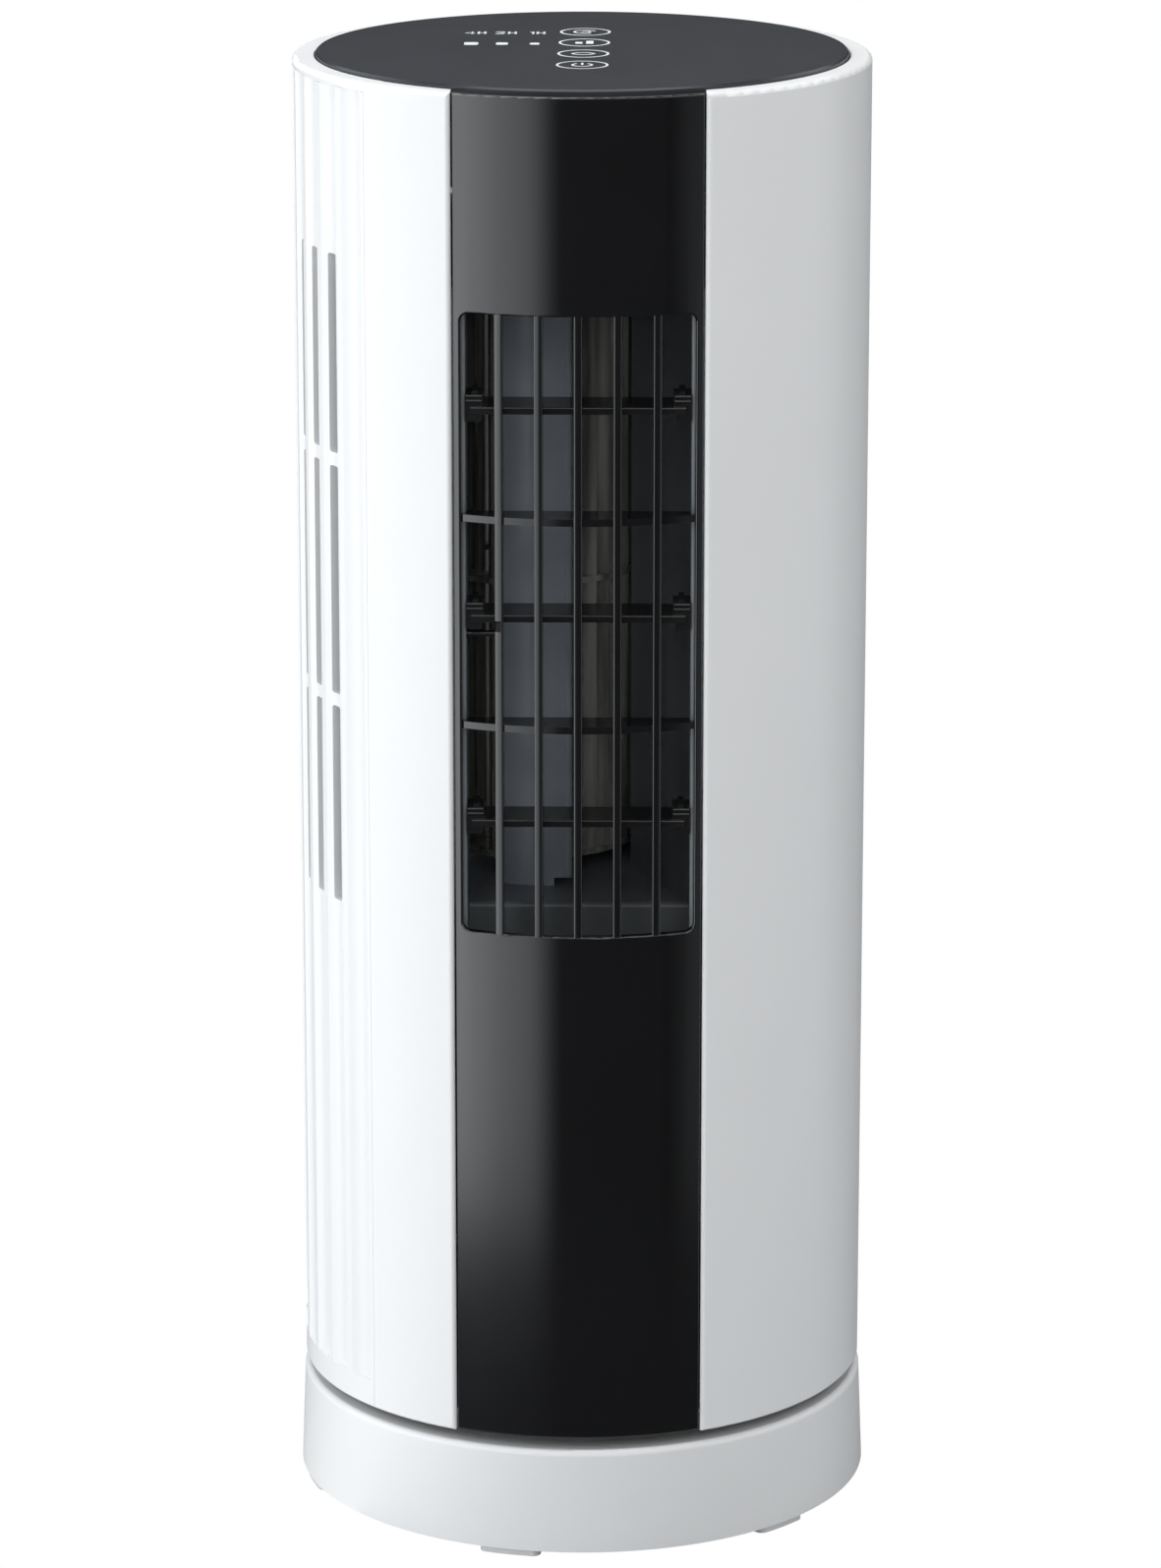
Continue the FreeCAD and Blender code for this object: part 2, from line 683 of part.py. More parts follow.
def duct_floor():
    """Shelf under the wheel: a rounded front lip, a skirt, and an apron to the panel."""
    radius = DUCT_PLATE_R
    low = DUCT_FLOOR_TOP - DUCT_PLATE_THICK
    disc = cylinder(radius, low, DUCT_FLOOR_TOP)
    disc = disc.cut(block(-80, 80, -80, DUCT_LIP_Y, low - 1, DUCT_FLOOR_TOP + 1))
    span = math.sqrt(radius ** 2 - DUCT_LIP_Y ** 2)
    skirt = block(-span, span, DUCT_LIP_Y, DUCT_LIP_Y + 2.0, DUCT_SKIRT_LOW - APRON_THICK, low)
    apron = cylinder(radius, DUCT_SKIRT_LOW - APRON_THICK, DUCT_SKIRT_LOW)
    apron = apron.common(block(-CUT_SIDE_X, CUT_SIDE_X, CUT_FRONT_Y, DUCT_LIP_Y + 1.0, 100.0, 200.0))
    shelf = fused([disc, skirt, apron])
    front = [
        e for e in shelf.Edges
        if e.BoundBox.XLength > 40
        and e.BoundBox.YLength < 0.01
        and abs(e.BoundBox.YMin - DUCT_LIP_Y) < 0.01
        and abs(e.BoundBox.ZMin - DUCT_FLOOR_TOP) < 0.01
    ]
    shelf = shelf.makeFillet(LIP_ROUND, front)
    boss_top = DUCT_FLOOR_TOP + WHEEL_BOSS_RISE
    boss = cylinder(WHEEL_BOSS_R, DUCT_FLOOR_TOP - 1.0, boss_top, WHEEL_X, WHEEL_Y)
    shelf = fused([shelf, boss])
    shelf = shelf.cut(cylinder(WHEEL_HOLE_R, 150.0, 190.0, WHEEL_X, WHEEL_Y))
    for spot in motor_leg_spots():
        shelf = shelf.cut(cylinder(PILOT_R, 150.0, 190.0, spot.x, spot.y))
    return shelf.cut(loom_hole(150.0, 190.0))


def duct_top_plate():
    """Plate over the wheel, with a cup that holds the top bearing."""
    plate = cylinder(DUCT_PLATE_R, DUCT_CEILING, DUCT_CEILING + DUCT_PLATE_THICK)
    plate = plate.cut(block(-CUT_SIDE_X, CUT_SIDE_X, CUT_FRONT_Y, LINK_Y, 300, 360))
    cup = tube(CUP_BORE_R, CUP_R, CUP_LOW, DUCT_CEILING, WHEEL_X, WHEEL_Y)
    roof = cylinder(CUP_R, DUCT_CEILING - 0.6, DUCT_CEILING, WHEEL_X, WHEEL_Y)
    return fused([plate, cup, roof]).cut(loom_hole(300.0, 360.0))


def top_bearing_seat():
    return tube(BEARING_SEAT_R, CUP_BORE_R, CUP_LOW + 0.4, CUP_LOW + 7.6, WHEEL_X, WHEEL_Y)


def top_bearing():
    bore = SHAFT_R + RUNNING_GAP
    return tube(bore, BEARING_SEAT_R, CUP_LOW + 0.8, CUP_LOW + 6.8, WHEEL_X, WHEEL_Y)


# ---- Blower wheel and motor ---------------------------------------------------------


def blade_face(z):
    """Forward-curved blade section, drawn at the +X side of the wheel."""
    def spot(radius, turn):
        angle = math.radians(turn)
        return V(radius * math.cos(angle), radius * math.sin(angle), z)

    middle = (BLADE_INNER_R + BLADE_OUTER_R) / 2
    edges = [
        arc(spot(BLADE_INNER_R, 0.0), spot(middle, 1.5), spot(BLADE_OUTER_R, 7.2)),
        line(spot(BLADE_OUTER_R, 7.2), spot(BLADE_OUTER_R, 8.8)),
        arc(spot(BLADE_OUTER_R, 8.8), spot(middle, 3.7), spot(BLADE_INNER_R, 2.4)),
        line(spot(BLADE_INNER_R, 2.4), spot(BLADE_INNER_R, 0.0)),
    ]
    return face_of_edges(edges)


def blower_wheel():
    """Cross-flow wheel: two end discs, a middle ring and curved blades between them."""
    half = DISC_THICK / 2
    discs = [
        cylinder(WHEEL_R, WHEEL_LOW, WHEEL_LOW + DISC_THICK),
        tube(BLADE_INNER_R - 0.8, WHEEL_R, WHEEL_MID - half, WHEEL_MID + half),
        cylinder(WHEEL_R, WHEEL_HIGH - DISC_THICK, WHEEL_HIGH),
    ]
    bite = 0.3
    spans = [
        (WHEEL_LOW + DISC_THICK - bite, WHEEL_MID - half + bite),
        (WHEEL_MID + half - bite, WHEEL_HIGH - DISC_THICK + bite),
    ]
    blades = []
    for low, high in spans:
        first = blade_face(low).extrude(V(0, 0, high - low))
        for index in range(BLADE_COUNT):
            blade = first.copy()
            blade.rotate(V(0, 0, 0), Z_AXIS, index * 360.0 / BLADE_COUNT)
            blades.append(blade)
    wheel = fused(discs + blades)
    wheel = wheel.cut(cylinder(HUB_R, WHEEL_LOW - 1, WHEEL_LOW + 10))
    wheel = wheel.cut(cylinder(SHAFT_R, WHEEL_HIGH - 5, WHEEL_HIGH + 1))
    wheel.translate(V(WHEEL_X, WHEEL_Y, 0))
    return wheel


HUB_R = 5.0
HUB_LOW = WHEEL_LOW - 3.2
HUB_HIGH = WHEEL_LOW + 9.5
SET_SCREW_Z = WHEEL_LOW + 6.5
SET_SCREW_R = 1.3


def wheel_hub():
    """Metal boss pressed into the wheel's lower disc, with a cross hole for its screw."""
    hub = tube(SHAFT_R, HUB_R, HUB_LOW, HUB_HIGH, WHEEL_X, WHEEL_Y)
    seat = WHEEL_LOW + DISC_THICK
    flange = tube(HUB_R, 8.0, seat, seat + 1.2, WHEEL_X, WHEEL_Y)
    hole = Part.makeCylinder(SET_SCREW_R, 6.0, V(WHEEL_X, WHEEL_Y, SET_SCREW_Z), V(1, 0, 0))
    return fused([hub, flange]).cut(hole)


def wheel_set_screw():
    seat = V(WHEEL_X + SHAFT_R, WHEEL_Y, SET_SCREW_Z)
    return Part.makeCylinder(SET_SCREW_R, 3.6, seat, V(1, 0, 0))


def wheel_top_pin():
    return cylinder(SHAFT_R, WHEEL_HIGH - DISC_THICK, 331.4, WHEEL_X, WHEEL_Y)


MOTOR_LOW = 132.0
MOTOR_HIGH = 160.0
MOTOR_R = 21.0
MOTOR_LEG_R = 21.5


def motor_shaft():
    return cylinder(SHAFT_R, MOTOR_LOW + 3.0, HUB_HIGH - 1.0, WHEEL_X, WHEEL_Y)


def motor_rotor():
    return tube(SHAFT_R, 11.0, 140.0, 152.0, WHEEL_X, WHEEL_Y)


def motor_stator():
    """Laminated ring with six coil poles facing the rotor."""
    ring = tube(16.5, 19.4, 140.5, 151.5)
    poles = []
    for index in range(6):
        pole = block(11.6, 17.0, -2.6, 2.6, 140.5, 151.5)
        pole.rotate(V(0, 0, 0), Z_AXIS, index * 60.0)
        poles.append(pole)
    stator = fused([ring] + poles)
    stator.translate(V(WHEEL_X, WHEEL_Y, 0))
    return stator


def motor_housing():
    """Closed can with a bearing pocket in each end; the shaft leaves through the top."""
    can = cylinder(MOTOR_R, MOTOR_LOW, MOTOR_HIGH)
    can = can.cut(cylinder(19.4, MOTOR_LOW + 2, MOTOR_HIGH - 2))
    cups = [tube(5.0, 7.0, MOTOR_LOW + 2, 137.0), tube(5.0, 7.0, 155.0, MOTOR_HIGH - 2)]
    can = fused([can] + cups)
    can = can.cut(cylinder(3.2, MOTOR_HIGH - 3, MOTOR_HIGH + 1))
    can.translate(V(WHEEL_X, WHEEL_Y, 0))
    return can


def motor_bearings():
    bore = SHAFT_R + RUNNING_GAP
    return group([
        tube(bore, 5.0, MOTOR_LOW + 2, 137.0, WHEEL_X, WHEEL_Y),
        tube(bore, 5.0, 154.6, MOTOR_HIGH - 2, WHEEL_X, WHEEL_Y),
    ])


def motor_leg_spots():
    spots = []
    for angle in (30.0, 150.0, 270.0):
        spots.append(around_wheel(angle, MOTOR_LEG_R))
    return spots


def motor_mount():
    """Round plate on the motor's top, hung from the duct floor by three legs."""
    plate = cylinder(MOTOR_LEG_R + 4.0, MOTOR_HIGH, MOTOR_HIGH + 2.4, WHEEL_X, WHEEL_Y)
    legs = []
    for spot in motor_leg_spots():
        legs.append(cylinder(3.2, MOTOR_HIGH + 1, DUCT_FLOOR_TOP - 3.0, spot.x, spot.y))
    mount = fused([plate] + legs)
    mount = mount.cut(cylinder(6.0, 150, 180, WHEEL_X, WHEEL_Y))
    for spot in motor_leg_spots():
        mount = mount.cut(cylinder(PILOT_R, 150.0, 180.0, spot.x, spot.y))
    return mount


def motor_screws():
    solids = []
    for seat in motor_leg_spots():
        solids.append(screw(seat, V(0, 0, -1), 2.5, 1.5, 1.3, 9.0))
    return group(solids)


# ---- Tower floor and swing drive ----------------------------------------------------


SWING_MOTOR_R = 14.0
SWING_MOTOR_OFFSET = 8.0
SWING_MOTOR_EAR = 17.5


def swing_motor_ears():
    y = CENTRE_DISTANCE + SWING_MOTOR_OFFSET
    return ((-SWING_MOTOR_EAR, y), (SWING_MOTOR_EAR, y))


def tower_floor():
    """Round floor of the tower, with the collar that turns on the base's post."""
    disc = cylinder(FLOOR_R, FLOOR_LOW, FLOOR_TOP)
    collar = cylinder(COLLAR_R, COLLAR_LOW, POST_TOP - 0.3)
    rails = []
    for side in (-1.0, 1.0):
        y0 = side * RAIL_REACH_Y - 2.0
        for x0 in (RAIL_LEFT_X, BOARD_RIGHT_X):
            rails.append(block(x0, x0 + RAIL_THICK, y0, y0 + 4, FLOOR_TOP - 1, RAIL_TOP))
    floor = fused([disc, collar] + rails)
    floor = floor.cut(cylinder(POST_R + RUNNING_GAP, 20.0, 60.0))
    floor = floor.cut(cylinder(5.0, 30.0, 45.0, 0.0, CENTRE_DISTANCE))
    for x, y in swing_motor_ears():
        floor = floor.cut(cylinder(PILOT_R, 30.0, 45.0, x, y))
    for bearing in SHELL_POST_BEARINGS:
        spot = at_bearing(bearing, SHELL_POST_R)
        floor = floor.cut(cylinder(CLEAR_R, 30.0, 45.0, spot.x, spot.y))
        floor = floor.cut(cylinder(2.6, 30.0, FLOOR_LOW + 1.2, spot.x, spot.y))
    return floor


def swing_motor():
    """Small geared stepper that lies over the floor, its shaft offset from its can."""
    y = CENTRE_DISTANCE + SWING_MOTOR_OFFSET
    can = cylinder(SWING_MOTOR_R, FLOOR_TOP, FLOOR_TOP + 19.0, 0.0, y)
    ears = block(-21.0, 21.0, y - 3.5, y + 3.5, FLOOR_TOP, FLOOR_TOP + 1.0)
    terminal = block(-7.3, 7.3, y + 8.0, y + 17.0, FLOOR_TOP + 1, FLOOR_TOP + 18.0)
    motor = fused([can, ears, terminal])
    motor = motor.cut(cylinder(2.5 + RUNNING_GAP, 30.0, FLOOR_TOP + 8.0, 0.0, CENTRE_DISTANCE))
    for ear_x, ear_y in swing_motor_ears():
        motor = motor.cut(cylinder(PILOT_R, 30.0, 60.0, ear_x, ear_y))
    return motor


def swing_motor_screws():
    solids = []
    for x, y in swing_motor_ears():
        seat = V(x, y, FLOOR_TOP + 1.0)
        solids.append(screw(seat, V(0, 0, -1), 2.5, 1.5, 1.3, 3.6))
    return group(solids)


def swing_shaft():
    return cylinder(2.5, GEAR_LOW + 0.2, FLOOR_TOP + 7.5, 0.0, CENTRE_DISTANCE)


def gear_outline(teeth):
    """Involute outline with backlash; its first tooth points along +X."""
    pitch_r = GEAR_MODULE * teeth / 2
    base_r = pitch_r * math.cos(math.radians(20.0))
    tip_r = pitch_r + 0.95 * GEAR_MODULE
    root_r = pitch_r - 1.2 * GEAR_MODULE
    start_r = max(base_r, root_r + 0.05)

    def involute(radius):
        tangent = math.sqrt(max((radius / base_r) ** 2 - 1.0, 0.0))
        return tangent - math.atan(tangent)

    half_tooth = math.pi / (2 * teeth) - BACKLASH / (2 * pitch_r) + involute(pitch_r)
    radii = [start_r + (tip_r - start_r) * step / 4 for step in range(5)]
    points = []
    for index in range(teeth):
        centre = 2 * math.pi * index / teeth
        flank = [(root_r, half_tooth - involute(start_r) + 0.05 / pitch_r)]
        flank += [(radius, half_tooth - involute(radius)) for radius in radii]
        rising = [(radius, centre - turn) for radius, turn in flank]
        falling = [(radius, centre + turn) for radius, turn in reversed(flank)]
        for radius, turn in rising + falling:
            points.append((radius * math.cos(turn), radius * math.sin(turn)))
    return points


def swing_gear():
    """Fixed ring gear on the base that the pinion walks round."""
    ring = prism(gear_outline(GEAR_TEETH), GEAR_LOW, GEAR_HIGH)
    flange = cylinder(27.5, DISH_Z, GEAR_LOW)
    gear = fused([ring, flange]).cut(cylinder(22.0, DISH_Z - 1, GEAR_HIGH + 1))
    for index in range(3):
        spot = at_bearing(BASE_TURN + 120.0 * index, GEAR_SCREW_R)
        gear = gear.cut(cylinder(1.2, 20.0, 40.0, spot.x, spot.y))
    return gear


def gear_screws():
    solids = []
    for index in range(3):
        seat = at_bearing(BASE_TURN + 120.0 * index, GEAR_SCREW_R, GEAR_HIGH)
        solids.append(screw(seat, V(0, 0, -1), 1.9, 1.0, 1.2, 9.2))
    return group(solids)


def swing_pinion():
    """Pinion in mesh with the ring gear, a tooth gap facing the tower's axis."""
    pinion = prism(gear_outline(PINION_TEETH), GEAR_LOW + 0.2, GEAR_HIGH)
    gap_turn = 270.0 - 180.0 / PINION_TEETH
    pinion.rotate(V(0, 0, 0), Z_AXIS, gap_turn)
    hub = cylinder(4.2, GEAR_HIGH - 1.0, FLOOR_LOW - 0.4)
    pinion = fused([pinion, hub]).cut(cylinder(2.5, 20.0, 50.0))
    pinion.translate(V(0, CENTRE_DISTANCE, 0))
    return pinion


# ---- Electronics --------------------------------------------------------------------


def power_board():
    return block(BOARD_LEFT_X, BOARD_RIGHT_X, -30.0, 30.0, FLOOR_TOP, 112.0)


def power_board_parts():
    """Transformer, two capacitors, a heat sink and the loom connector."""
    face = BOARD_RIGHT_X
    transformer = block(face, face + 17.0, -24.0, -4.0, 70.0, 92.0)
    capacitors = []
    for y in (4.0, 14.0):
        capacitors.append(Part.makeCylinder(4.0, 14.0, V(face, y, 98.0), V(1, 0, 0)))
    sink = block(face, face + 9.0, -26.0, -23.0, 96.0, 110.0)
    connector = block(face, face + 6.0, LOOM_Y - 6.0, LOOM_Y + 6.0, 60.0, 68.0)
    return group([transformer] + capacitors + [sink, connector])


def wire_loom():
    """Loom from the power board, across the tower and up to the control board."""
    radius = 2.2
    bend = 14.0
    z = 64.0
    start = V(-34.0, LOOM_Y, z)
    corner = V(LOOM_X, LOOM_Y, z)
    end = V(LOOM_X, LOOM_Y, BOARD_LOW - 5.0)
    before = corner - V(bend, 0, 0)
    after = corner + V(0, 0, bend)
    drop = bend * (1 - math.cos(math.radians(45.0)))
    middle = corner + V(-drop, 0, drop)
    path = Part.Wire([line(start, before), arc(before, middle, after), line(after, end)])
    section = Part.Wire([Part.makeCircle(radius, start, V(1, 0, 0))])
    return path.makePipeShell([section], True, False)


def loom_plug():
    return block(LOOM_X - 5, LOOM_X + 5, LOOM_Y - 4, LOOM_Y + 4, BOARD_LOW - 5.0, BOARD_LOW)


def board_screw_spots():
    return ((-34.0, -34.0), (16.0, -34.0), (-34.0, 38.0), (16.0, 38.0))


def top_frame():
    """Round tray under the touch panel, with standoffs for the control board."""
    rim = tube(66.6, 69.0, TRAY_LOW, HEIGHT - PANEL_THICK)
    tray = cylinder(67.0, TRAY_LOW, TRAY_FLOOR)
    posts = []
    for x, y in board_screw_spots():
        posts.append(cylinder(3.2, TRAY_LOW + 1, BOARD_LOW, x, y))
    frame = fused([rim, tray] + posts)
    for x, y in board_screw_spots():
        frame = frame.cut(cylinder(1.2, TRAY_LOW - 1, BOARD_LOW + 1, x, y))
    opening = block(LOOM_X - 6, LOOM_X + 6, LOOM_Y - 5, LOOM_Y + 5, 370, BOARD_LOW)
    return frame.cut(opening)


def control_board():
    """Board with a tongue that reaches out to the loom's plug."""
    board = block(-40.0, 22.0, -42.0, 44.0, BOARD_LOW, BOARD_TOP)
    tongue = block(21.0, LOOM_X + 5, 12.0, 28.0, BOARD_LOW, BOARD_TOP)
    board = fused([board, tongue])
    for x, y in board_screw_spots():
        board = board.cut(cylinder(1.2, 370, 385, x, y))
    return board


def board_screws():
    solids = []
    for x, y in board_screw_spots():
        seat = V(x, y, BOARD_TOP)
        solids.append(screw(seat, V(0, 0, -1), 2.3, 1.3, 1.2, 3.4))
    return group(solids)


def touch_springs():
    """Conductive rings that carry each touch key's field up to the panel."""
    low = BOARD_TOP
    high = HEIGHT - PANEL_THICK
    return group([tube(4.6, 6.0, low, high, KEY_X, y) for y in KEY_YS])


def timer_light_guides():
    low = BOARD_TOP
    high = HEIGHT - PANEL_THICK
    guides = []
    for x in TIMER_XS:
        guides.append(block(x - 1.8, x + 1.8, TIMER_Y - 2.2, TIMER_Y + 2.2, low, high))
    return group(guides)


def touch_panel():
    """Flat round panel with a fine chamfer, its printed face sunk a hair inside a rim."""
    panel = cylinder(PANEL_R, HEIGHT - PANEL_THICK, HEIGHT)
    rim = [e for e in panel.Edges if abs(e.BoundBox.ZMin - HEIGHT) < 0.01]
    panel = panel.makeChamfer(0.5, rim)
    return panel.cut(cylinder(PANEL_R - 1.1, HEIGHT - PRINT_RECESS, HEIGHT + 1))


# ---- Base ---------------------------------------------------------------------------


def base_boss_bearings():
    return [BASE_TURN + offset for offset in (60.0, 120.0, 240.0, 300.0)]


def base_shell():
    """Shallow flared cup with a dished top and the hollow post that the tower turns on."""
    slope = (BASE_R - BASE_RIM_R) / (BASE_TOP - BASE_LOW)
    rim_round = 1.6
    outer_top = BASE_TOP - rim_round
    top_r = BASE_RIM_R + slope * rim_round
    half = math.radians(45.0)
    middle = V(top_r - rim_round * (1 - math.cos(half)), 0, outer_top + rim_round * math.sin(half))
    corners = [
        V(top_r, 0, outer_top),
        V(BASE_R, 0, BASE_LOW),
        V(BASE_R - BASE_WALL, 0, BASE_LOW),
        V(top_r - BASE_WALL, 0, BASE_TOP - BASE_WALL - 1.0),
        V(DISH_R, 0, DISH_Z - BASE_WALL),
        V(POST_R, 0, DISH_Z - BASE_WALL),
        V(POST_R, 0, PLATE_TOP),
        V(POST_BORE_R, 0, PLATE_TOP),
        V(POST_BORE_R, 0, POST_TOP),
        V(POST_R, 0, POST_TOP),
        V(POST_R, 0, DISH_Z),
        V(DISH_R, 0, DISH_Z),
        V(top_r - rim_round, 0, BASE_TOP),
    ]
    count = len(corners)
    edges = [line(corners[i], corners[i + 1]) for i in range(count - 1)]
    edges.append(arc(corners[-1], middle, corners[0]))
    shell = face_of_edges(edges).revolve(V(0, 0, 0), Z_AXIS, 360.0)
    posts = []
    for bearing in base_boss_bearings():
        spot = at_bearing(bearing, BOSS_R)
        posts.append(cylinder(4.0, PLATE_TOP, DISH_Z - 1.0, spot.x, spot.y))
    shell = fused([shell] + posts)
    for bearing in base_boss_bearings():
        spot = at_bearing(bearing, BOSS_R)
        shell = shell.cut(cylinder(1.4, BASE_LOW, 20.0, spot.x, spot.y))
    for index in range(3):
        spot = at_bearing(BASE_TURN + 120.0 * index, GEAR_SCREW_R)
        shell = shell.cut(cylinder(1.2, 20.0, 40.0, spot.x, spot.y))
        spot = at_bearing(BASE_TURN + 60.0 + 120.0 * index, RETAINER_SCREW_R)
        shell = shell.cut(cylinder(1.0, POST_TOP - 7.0, POST_TOP + 1.0, spot.x, spot.y))
    shell = shell.cut(tube(SLIDE_INNER_R, SLIDE_OUTER_R, DISH_Z - 1.0, DISH_Z + 1.0))
    rear = BASE_TURN + 180.0
    along = outward(rear)
    lead_window = Part.makeCylinder(3.0, POST_R + 6.0, V(0, 0, GLAND_Z), along)
    shell = shell.cut(lead_window)
    hole = Part.makeCylinder(GLAND_SLEEVE_R, 10, at_bearing(rear, 69.0, GLAND_Z), along)
    seat = Part.makeCylinder(GLAND_RECESS_R, 5, at_bearing(rear, GLAND_SEAT_R, GLAND_Z), along)
    return shell.cut([hole, seat])


def base_plate():
    """Flat cover under the base, with recessed screw seats."""
    plate = cylinder(PLATE_R, BASE_LOW, PLATE_TOP)
    for bearing in base_boss_bearings():
        spot = at_bearing(bearing, BOSS_R)
        plate = plate.cut(cylinder(CLEAR_R, BASE_LOW - 1.0, 10.0, spot.x, spot.y))
        plate = plate.cut(cylinder(2 * CLEAR_R, BASE_LOW - 1.0, BASE_LOW + 1.4, spot.x, spot.y))
    return plate


def base_screws():
    solids = []
    for bearing in base_boss_bearings():
        seat = at_bearing(bearing, BOSS_R, BASE_LOW + 1.4)
        solids.append(screw(seat, Z_AXIS, 2.7, 1.2, 1.4, 12.0))
    return group(solids)


def foot_bearings():
    return [BASE_TURN + FOOT_PITCH * (index + 0.5) for index in range(6)]


def rubber_feet():
    """Six pads under the base, with rounded corners."""
    pads = []
    for bearing in foot_bearings():
        pad = ring_sector(
            FOOT_INNER_R, FOOT_OUTER_R, BASE_LOW - FOOT_DEPTH, BASE_LOW,
            bearing - FOOT_HALF_ANGLE, bearing + FOOT_HALF_ANGLE,
        )
        upright = [e for e in pad.Edges if abs(e.BoundBox.ZLength - FOOT_DEPTH) < 0.01]
        pads.append(pad.makeFillet(2.0, upright))
    return group(pads)


def cord_gland():
    """Bushing in the base's rear wall, where a mains cord passes."""
    rear = BASE_TURN + 180.0
    along = outward(rear)
    sleeve_length = GLAND_FACE_R - GLAND_INNER_R
    inner_end = at_bearing(rear, GLAND_INNER_R, GLAND_Z)
    seat = at_bearing(rear, GLAND_SEAT_R, GLAND_Z)
    sleeve = Part.makeCylinder(GLAND_SLEEVE_R, sleeve_length, inner_end, along)
    flange = Part.makeCylinder(GLAND_FLANGE_R, GLAND_FACE_R - GLAND_SEAT_R, seat, along)
    bore = Part.makeCylinder(GLAND_BORE_R, sleeve_length + 2, inner_end - along, along)
    return fused([sleeve, flange]).cut(bore)


def slide_ring():
    """Low-friction ring in the dish that steadies the tower's floor."""
    return tube(SLIDE_INNER_R, SLIDE_OUTER_R, DISH_Z - 1.0, FLOOR_LOW - FIT_GAP)


def retaining_ring():
    """Ring on top of the post that keeps the tower from lifting off."""
    ring = tube(POST_BORE_R, RETAINER_R, POST_TOP, POST_TOP + RETAINER_THICK)
    for index in range(3):
        spot = at_bearing(BASE_TURN + 60.0 + 120.0 * index, RETAINER_SCREW_R)
        ring = ring.cut(cylinder(1.0, 40.0, 50.0, spot.x, spot.y))
    return ring


def retaining_screws():
    solids = []
    for index in range(3):
        seat = at_bearing(BASE_TURN + 60.0 + 120.0 * index, RETAINER_SCREW_R, POST_TOP + RETAINER_THICK)
        solids.append(screw(seat, V(0, 0, -1), 2.0, 1.2, 1.0, 8.0))
    return group(solids)


# ---- Output -------------------------------------------------------------------------

PIECES = [
    main_shell, rear_intake_cover, cover_screws, floor_screws,
    front_panel, cross_struts, strut_clips, link_rod,
    scroll_wall, left_duct_wall, flow_divider, duct_floor, duct_top_plate,
    top_bearing_seat, top_bearing,
    blower_wheel, wheel_hub, wheel_set_screw, wheel_top_pin,
    motor_shaft, motor_rotor, motor_stator, motor_housing, motor_bearings,
    motor_mount, motor_screws,
    tower_floor, swing_motor, swing_motor_screws, swing_shaft, swing_pinion,
    power_board, power_board_parts, wire_loom, loom_plug,
    top_frame, control_board, board_screws, touch_springs, timer_light_guides, touch_panel,
    base_shell, base_plate, base_screws, rubber_feet, cord_gland,
    swing_gear, gear_screws, slide_ring, retaining_ring, retaining_screws,
]


def main():
    """Saves every piece, lifted so that the soles of the feet are at z = 0."""
    os.makedirs("parts", exist_ok=True)
    for piece in PIECES:
        shape = piece()
        shape.translate(V(0, 0, FOOT_DEPTH - BASE_LOW))
        name = piece.__name__
        shape.exportStep("parts/" + name + ".step")
        solids = len(shape.Solids)
        print(name, solids, "solids", round(shape.Volume, 1), "mm3", shape.isValid())


main()
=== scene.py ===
import json
import math

import bmesh
import bpy
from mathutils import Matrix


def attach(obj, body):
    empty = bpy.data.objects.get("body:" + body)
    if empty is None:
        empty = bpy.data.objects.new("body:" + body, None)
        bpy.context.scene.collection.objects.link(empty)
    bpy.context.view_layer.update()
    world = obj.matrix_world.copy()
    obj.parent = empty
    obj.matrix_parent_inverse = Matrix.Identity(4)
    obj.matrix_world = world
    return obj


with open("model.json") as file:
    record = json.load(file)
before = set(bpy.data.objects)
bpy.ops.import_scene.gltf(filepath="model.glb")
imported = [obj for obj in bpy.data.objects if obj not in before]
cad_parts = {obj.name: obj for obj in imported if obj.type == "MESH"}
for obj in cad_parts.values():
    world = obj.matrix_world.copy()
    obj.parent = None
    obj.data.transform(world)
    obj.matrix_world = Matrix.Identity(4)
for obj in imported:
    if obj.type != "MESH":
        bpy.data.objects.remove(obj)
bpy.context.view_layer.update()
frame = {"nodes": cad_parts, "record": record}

MM = 0.001
WHITE = (1.0, 1.0, 1.0, 1.0)
COOL = (0.93, 0.965, 1.0, 1.0)

# ---- Camera -------------------------------------------------------------------------

# The camera stands at a bearing from the fan's front, in degrees, and looks down by the pitch.
CAMERA_DISTANCE = 1.639
CAMERA_HEIGHT = 0.6291
CAMERA_BEARING = 0.85
CAMERA_PITCH = 14.99
CAMERA_YAW = 0.015
CAMERA_LENS = 146.2
SENSOR_WIDTH = 36.0


def make_camera():
    """A long lens, a little above the fan and a touch to the right of its front."""
    data = bpy.data.cameras.new("camera")
    data.sensor_fit = "AUTO"
    data.sensor_width = SENSOR_WIDTH
    data.lens = CAMERA_LENS
    data.clip_start = 0.05
    data.clip_end = 60.0
    camera = bpy.data.objects.new("camera", data)
    bearing = math.radians(CAMERA_BEARING)
    camera.location = (
        CAMERA_DISTANCE * math.sin(bearing),
        -CAMERA_DISTANCE * math.cos(bearing),
        CAMERA_HEIGHT,
    )
    tilt = math.radians(90.0 - CAMERA_PITCH)
    camera.rotation_euler = (tilt, 0.0, bearing + math.radians(CAMERA_YAW))
    bpy.context.scene.collection.objects.link(camera)
    bpy.context.scene.camera = camera


# ---- Studio -------------------------------------------------------------------------

